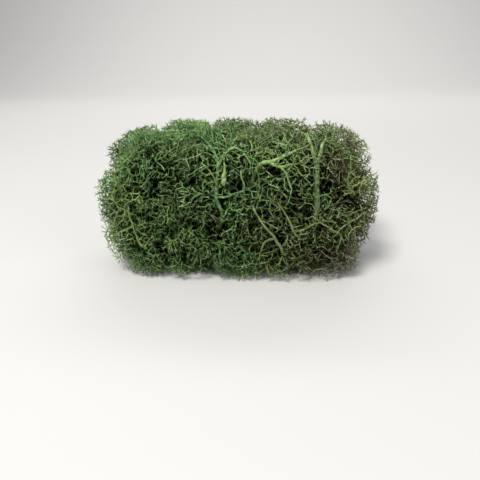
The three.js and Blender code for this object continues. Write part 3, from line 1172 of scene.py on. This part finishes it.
def light_at(points):
    """The light at each point, blended between the eight cells around it."""
    spots = cells_of(points) - 0.5
    low = np.floor(spots).astype(int)
    part = spots - low
    total = np.zeros(len(points))
    for corner in np.ndindex(2, 2, 2):
        weight = np.prod(np.where(corner, part, 1 - part), axis=1)
        i, j, k = (low + corner).T
        total += weight * light_grid[i, j, k]
    return total


print("light from", round(float(light_grid.min()), 3), "to", round(float(light_grid.max()), 3))
tips_light = light_at(np.array([twig.end for plant in plants for twig in all_twigs(plant["twigs"])]))
print("light at ends:", np.percentile(tips_light, [5, 25, 50, 75, 95]).round(3))

# %% [markdown]
# ## Skin
#
# Every twig gets a closed skin with three sides, which is all that a twig thinner than a match needs when
# it is shaded smooth. A fork's three sides each carry on as one kid. Where a kid is missing, a triangle
# closes the side. A twig with no kids ends in a star of three points, and short thorns stand on the young
# ones. A point that would run into the ground lies on it instead. Besides its place, each corner keeps its
# age, from 0 at the points to 1 in old wood, and its tone.


# %% A skin
class Skin:
    def __init__(self):
        self.points, self.faces, self.ages, self.tones = [], [], [], []

    def corner(self, at, age, tone):
        self.points.append(Vector((at.x, at.y, max(at.z, 0))))
        self.ages.append(age)
        self.tones.append(tone)
        return len(self.points) - 1

    def ring(self, corners, age, tone):
        return [self.corner(at, age, tone) for at in corners]

    def wall(self, below, above):
        n = len(below)
        for k in range(n):
            self.faces.append((below[k], below[(k + 1) % n], above[(k + 1) % n], above[k]))

    def point_on(self, ring, at, age, tone):
        tip = self.corner(at, age, tone)
        for k in range(len(ring)):
            self.faces.append((ring[k], ring[(k + 1) % len(ring)], tip))


# %% Skin of one twig
AGE_OF_ORDER = (0.85, 0.68, 0.52, 0.38, 0.3, 0.24, 0.2, 0.16)
THORNS_FROM_ORDER, MOST_THORNS = 2, 3.6


def age_of(order):
    return AGE_OF_ORDER[min(order, len(AGE_OF_ORDER) - 1)]


def turned_ring(centre, direction, face, radius):
    middle = (face[0] + face[1] + face[2]) / 3
    return ring_of_three(centre, direction, face[0] - middle, radius)


def skin_twig(skin, twig, base, base_radius):
    """Covers one twig and all that grows on it. base: the numbers of the three corners it starts from."""
    ring, path, steps = base, twig.path, len(twig.path) - 1
    age, age_before = age_of(twig.order), age_of(max(twig.order - 1, 0))
    for i in range(1, steps + 1):
        part = i / steps
        direction = twig.heading if i == steps else (path[i + 1] - path[i - 1]).normalized()
        face = [skin.points[c] for c in ring]
        radius = base_radius + (twig.radius - base_radius) * min(1, part * 2)
        corners = turned_ring(path[i], direction, face, radius)
        above = skin.ring(corners, age_before + (age - age_before) * part, twig.tone)
        skin.wall(ring, above)
        ring = above
    saddle = skin.corner(twig.end + twig.heading * (twig.radius * SADDLE_RISE), age, twig.tone)
    star = not any(twig.kids)
    for k in range(3):
        face = [ring[k], ring[(k + 1) % 3], saddle]
        if twig.kids[k]:
            skin_twig(skin, twig.kids[k], face, twig.radius)
        elif star:
            skin.point_on(face, star_point(twig, [skin.points[c] for c in face]), 0, twig.tone)
        else:
            skin.faces.append(tuple(face))
    for shoot in twig.shoots:
        skin_root(skin, shoot)
    if twig.habit is not WOOD and twig.order >= THORNS_FROM_ORDER:
        for _ in range(int(twig_dice.draw(0, MOST_THORNS))):
            skin_thorn(skin, twig)


# %% Roots, stars and thorns
ROOT_FLARE = 1.1
STAR_OPENS, STAR_LENGTHS = (32, 60), (0.65, 1.25)
THORN_PLACES, THORN_LEANS = (0.15, 0.95), (0.1, 0.9)
THORN_THICKNESS, THORN_LENGTHS = 0.75, (0.6, 1.15)


def star_point(twig, face):
    outward = ((face[0] + face[1]) / 2 - twig.end).normalized()
    spread = math.radians(twig_dice.draw(*STAR_OPENS))
    direction = twig.heading * math.cos(spread) + outward * math.sin(spread)
    return twig.end + direction * (twig.habit["star"] * twig_dice.draw(*STAR_LENGTHS))


def skin_root(skin, twig):
    direction = (twig.path[1] - twig.path[0]).normalized()
    radius = twig.radius * ROOT_FLARE
    corners = ring_of_three(twig.path[0], direction, sideways_of(direction), radius)
    base = skin.ring(corners, age_of(max(twig.order - 1, 0)), twig.tone)
    skin.faces.append((base[0], base[2], base[1]))
    skin_twig(skin, twig, base, radius)


def skin_thorn(skin, twig):
    i = int(twig_dice.draw(0, len(twig.path) - 1))
    start = twig.path[i].lerp(twig.path[i + 1], twig_dice.draw(*THORN_PLACES))
    along = (twig.path[i + 1] - twig.path[i]).normalized()
    direction = (sideways_of(along) + along * twig_dice.draw(*THORN_LEANS)).normalized()
    corners = ring_of_three(start, direction, along, twig.radius * THORN_THICKNESS)
    base = skin.ring(corners, age_of(twig.order), twig.tone)
    skin.faces.append((base[0], base[2], base[1]))
    length = twig.habit["star"] * twig_dice.draw(*THORN_LENGTHS)
    skin.point_on(base, start + direction * length, 0, twig.tone)


# %% [markdown]
# ## Stalks
#
# A stalk is a tapering tube on the plant's spine, cut off flat at the foot where the clump was harvested.
# Its surface is ridged lengthwise and lumpy, so each corner of its rings moves in or out by two patterns
# of noise, one drawn out along the stalk and one not. An old stalk is thicker and has more sides. It is
# as dark as old wood where twigs hide it, and paler above, each stalk in its own measure. Its arms and the
# long branches are the same tube again, thinner, and short spurs stand on all, where twigs have broken off.

# %% Kinds of stalk
OLD_STALK = {"sides": 14, "step": 0.9, "radii": (2.0, 1.3)}
OLD_ARM = {"sides": 10, "step": 0.9, "radii": (1.2, 0.65), "age": 0.36}
YOUNG_STALK = {"sides": 8, "step": 3.0, "radii": (2.2, 1.2), "age": 1.0}
LONG_BRANCH = {"sides": 8, "step": 1.0, "radii": (1.1, 0.85, 0.45), "age": 0.5}
POD = {"sides": 12, "step": 0.5, "radii": (0.5, 0.4, 0.4, 0.4, 0.55, 1.25, 1.55, 1.35, 0.7), "age": 0.3}


def radius_of(kind, at):
    return float(np.interp(at, np.linspace(0, 1, len(kind["radii"])), kind["radii"]))


# %% Skin of one stalk
RIDGES = {"height": 0.34, "around": 1.6, "along": 9}
LUMPS = {"height": 0.2, "around": 1.3, "along": 1.6}
PHASES = (0, 100)  # where in the noise a stalk's pattern starts
MOTTLE, MOTTLE_SIZE = 0.2, 4
DARK_TO_PALE = 8  # millimetres of stalk on which the dark part turns pale
LEAST_RINGS = 6


def swelling(pattern, x, y, run, phase):
    place = Vector((pattern["around"] * x, pattern["around"] * y, run / pattern["along"]))
    return pattern["height"] * noise.noise(place + phase)


def skin_tube(skin, plant, spine, kind, girth, tone):
    count = max(LEAST_RINGS, round(spine.length / kind["step"]))
    phase, ring = Vector((0, 0, twig_dice.draw(*PHASES))), None
    hidden_to = kind.get("hidden_to", 0)
    for i in range(count):
        at = i / count
        centre = spine.point(at)
        along = UP if centre.z == 0 else spine.tangent(at)
        over = along.cross(plant["sideways"]).normalized()
        right = over.cross(along)
        size, run = radius_of(kind, at) * girth, spine.length * at
        corners = []
        for k in range(kind["sides"]):
            angle = 2 * math.pi * k / kind["sides"]
            x, y = math.cos(angle), math.sin(angle)
            reach = size * (1 + swelling(RIDGES, x, y, run, phase) + swelling(LUMPS, x, y, run, -phase))
            corners.append(centre + (right * x + over * y) * reach)
        age = float(np.interp(centre.z, (hidden_to - DARK_TO_PALE, hidden_to), (1, kind["age"])))
        above = skin.ring(corners, age, tone + MOTTLE * noise.noise(centre / MOTTLE_SIZE))
        if ring is None:
            skin.faces.append(tuple(reversed(above)))
        else:
            skin.wall(ring, above)
        ring = above
    skin.point_on(ring, spine.point(1), kind["age"], tone)


# %% Spurs, and all stalks of a plant
SPUR_STEP = 1.5
SPUR_ROOT = 0.6  # how far out in the stalk a spur starts, as a part of the stalk's radius
SPUR_LEANS = (-0.1, 0.7)
SPUR_RADII, SPUR_LENGTHS, SPUR_AGE = (0.22, 0.4), (0.4, 1.7), 0.15


def skin_spurs(skin, spine, kind, girth, tone):
    for i in range(int(spine.length / SPUR_STEP)):
        at = (i + twig_dice.roll()) * SPUR_STEP / spine.length
        start, along = spine.point(min(at, 1)), spine.tangent(min(at, 1))
        out = sideways_of(along)
        size = radius_of(kind, at) * girth
        direction = (out + along * twig_dice.draw(*SPUR_LEANS)).normalized()
        root = start + out * (size * SPUR_ROOT)
        corners = ring_of_three(root, direction, along, twig_dice.draw(*SPUR_RADII))
        base = skin.ring(corners, kind["age"], tone)
        skin.faces.append((base[0], base[2], base[1]))
        skin.point_on(base, start + direction * (size + twig_dice.draw(*SPUR_LENGTHS)), SPUR_AGE, tone)


def skin_stalks(skin, plant):
    tubes = [(row["curve"], LONG_BRANCH, row["girth"], row["tone"]) for row in plant["branches"]]
    if plant["habit"] is OLD:
        stalk = {**OLD_STALK, "age": plant["age"], "hidden_to": plant["bare_from"]}
        tubes.append((plant["spine"], stalk, plant["girth"], plant["tone"]))
        tubes += [(arm, OLD_ARM, plant["girth"], plant["tone"]) for arm in plant["arms"]]
    else:
        skin_tube(skin, plant, plant["spine"], YOUNG_STALK, 1, plant["tone"])
    for spine, kind, girth, tone in tubes:
        skin_tube(skin, plant, spine, kind, girth, tone)
        skin_spurs(skin, spine, kind, girth, tone)
    if plant["name"] == POD_ON:
        skin_tube(skin, plant, wandering_spine(POD_ROUTE), POD, 1, POD_TONE)


# %% [markdown]
# ## Finish
#
# Dyed reindeer moss is matt and felty. Its hue is the tone of each twig: brown where it is old, olive where
# the dye took badly, green where it took well, and yellow on the freshest growth. A pale bloom lies on it in
# patches like dust, and it is painted stronger where more light comes in, which makes it partly a painted
# highlight. On top of that the young points are paler and the old wood darker, and all that lies where
# little light comes is painted darker and all in the open lighter: painted shade on top of the shade that
# the lamps cast. Two noise patterns, one broad and one as fine as the felt, vary the brightness, and the
# fine one also gives the bump.


# %% Helpers for the finish
def attribute(tree, name):
    node = tree.nodes.new("ShaderNodeAttribute")
    node.attribute_name = name
    return node.outputs["Fac"]


def noise_at(tree, scale, detail):
    place = tree.nodes.new("ShaderNodeTexCoord")
    pattern = tree.nodes.new("ShaderNodeTexNoise")
    pattern.inputs["Scale"].default_value = scale
    pattern.inputs["Detail"].default_value = detail
    tree.links.new(place.outputs["Object"], pattern.inputs["Vector"])
    return pattern.outputs["Fac"]


def ramp(tree, value, stops):
    """Colours along a value, from (place, colour) stops."""
    node = tree.nodes.new("ShaderNodeValToRGB")
    elements = node.color_ramp.elements
    while len(elements) < len(stops):
        elements.new(0.5)
    for element, (place, colour) in zip(elements, stops):
        element.position = place
        element.color = (*colour, 1)
    tree.links.new(value, node.inputs["Fac"])
    return node.outputs["Color"]


def rescaled(tree, value, low, high, to_low, to_high):
    node = tree.nodes.new("ShaderNodeMapRange")
    for name, number in (("From Min", low), ("From Max", high), ("To Min", to_low), ("To Max", to_high)):
        node.inputs[name].default_value = number
    tree.links.new(value, node.inputs["Value"])
    return node.outputs["Result"]


def blended(tree, part, colour, other):
    """The colour, with this part of it replaced by another, fixed one."""
    node = tree.nodes.new("ShaderNodeMix")
    node.data_type = "RGBA"
    sockets = {socket.identifier: socket for socket in (*node.inputs, *node.outputs)}
    sockets["B_Color"].default_value = (*other, 1)
    tree.links.new(part, sockets["Factor_Float"])
    tree.links.new(colour, sockets["A_Color"])
    return sockets["Result_Color"]


def product(tree, values):
    total = values[0]
    for value in values[1:]:
        node = tree.nodes.new("ShaderNodeMath")
        node.operation = "MULTIPLY"
        tree.links.new(total, node.inputs[0])
        tree.links.new(value, node.inputs[1])
        total = node.outputs["Value"]
    return total


# %% Lichen finish
TONE_PLACES = (0.0, 0.33, 0.62, 0.9)  # of brown, olive, green and yellow
DUST, DUST_SIZE = 0.9, 2.2
FELT_SCALE = 1400


def lichen(name, tones, dust_and_highlight_colour, mottle_size, mottle):
    material = bpy.data.materials.new(name)
    material.use_nodes = True
    tree = material.node_tree
    shader = tree.nodes["Principled BSDF"]
    shader.inputs["Roughness"].default_value = 0.8
    shader.inputs["Specular IOR Level"].default_value = 0.18

    felt = noise_at(tree, FELT_SCALE, 3)
    hue = ramp(tree, attribute(tree, "tone"), list(zip(TONE_PLACES, tones)))
    # A pale bloom in noise patches, painted stronger where more light comes in: dust and painted highlight
    # in one.
    dust_and_painted_highlight = product(tree, [
        rescaled(tree, attribute(tree, "light"), 0.05, 0.42, 0.1, 1),
        rescaled(tree, noise_at(tree, 1 / (DUST_SIZE * MM), 2), 0.45, 0.7, 0, DUST),
    ])
    hue = blended(tree, dust_and_painted_highlight, hue, dust_and_highlight_colour)
    brightness = product(tree, [
        rescaled(tree, attribute(tree, "age"), 0, 0.7, 1.35, 0.65),
        # Painted shade: corners where little light comes are painted darker, and open ones lighter.
        rescaled(tree, attribute(tree, "light"), 0.04, 0.42, 0.07, 1.7),
        rescaled(tree, noise_at(tree, 1 / (mottle_size * MM), 3), 0.3, 0.7, 1 - mottle, 1 + mottle),
        rescaled(tree, felt, 0.3, 0.7, 0.85, 1.15),
    ])
    colour = tree.nodes.new("ShaderNodeVectorMath")
    colour.operation = "SCALE"
    tree.links.new(hue, colour.inputs[0])
    tree.links.new(brightness, colour.inputs["Scale"])
    tree.links.new(colour.outputs["Vector"], shader.inputs["Base Color"])

    bump = tree.nodes.new("ShaderNodeBump")
    bump.inputs["Strength"].default_value = 0.5
    bump.inputs["Distance"].default_value = 0.15 * MM
    tree.links.new(felt, bump.inputs["Height"])
    tree.links.new(bump.outputs["Normal"], shader.inputs["Normal"])
    return material


finishes = {
    "green_lichen": lichen(
        "green_lichen",
        tones=[(0.056, 0.05, 0.019), (0.058, 0.088, 0.024), (0.047, 0.116, 0.025), (0.117, 0.163, 0.037)],
        dust_and_highlight_colour=(0.126, 0.186, 0.102), mottle_size=15, mottle=0.25,
    ),
    "olive_lichen": lichen(
        "olive_lichen",
        tones=[(0.057, 0.051, 0.019), (0.06, 0.083, 0.023), (0.051, 0.108, 0.025), (0.12, 0.14, 0.036)],
        dust_and_highlight_colour=(0.146, 0.157, 0.098), mottle_size=15, mottle=0.25,
    ),
    "old_lichen": lichen(
        "old_lichen",
        tones=[(0.068, 0.06, 0.024), (0.07, 0.105, 0.031), (0.06, 0.145, 0.037), (0.14, 0.175, 0.052)],
        dust_and_highlight_colour=(0.155, 0.213, 0.117), mottle_size=1.6, mottle=0.45,
    ),
}
print("finishes:", list(finishes))

# %% [markdown]
# ## Pieces
#
# Each plant becomes one piece, which stands for its solid. The mesh is made in metres, with the age, the
# tone and the light of each corner kept as attributes for the finish to read. The finish paints the light in
# as shade.

# %% Make the pieces
SLOTS = {row["node"]: row["material_slot"] for row in frame["record"]["subparts"]}


def make_piece(plant):
    skin = Skin()
    skin_stalks(skin, plant)
    for twig in plant["twigs"]:
        skin_root(skin, twig)
    points = np.array(skin.points)
    mesh = bpy.data.meshes.new(plant["name"] + "_lichen")
    mesh.from_pydata((points * MM).tolist(), [], skin.faces)
    mesh.shade_smooth()
    # light: how much light reaches each corner, which the finish paints in as shade and as the bloom's
    # highlight.
    for name, values in (("age", skin.ages), ("tone", skin.tones), ("light", light_at(points))):
        mesh.attributes.new(name, "FLOAT", "POINT").data.foreach_set("value", values)
    slot = SLOTS[plant["name"]]
    mesh.materials.append(finishes[slot])
    piece = bpy.data.objects.new(plant["name"] + "_lichen", mesh)
    bpy.context.scene.collection.objects.link(piece)
    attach(piece, "root")
    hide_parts(plant["name"])
    return sum(len(face) - 2 for face in skin.faces)


triangles = [make_piece(plant) for plant in plants]
print("triangles:", sum(triangles), "most in one piece:", max(triangles))
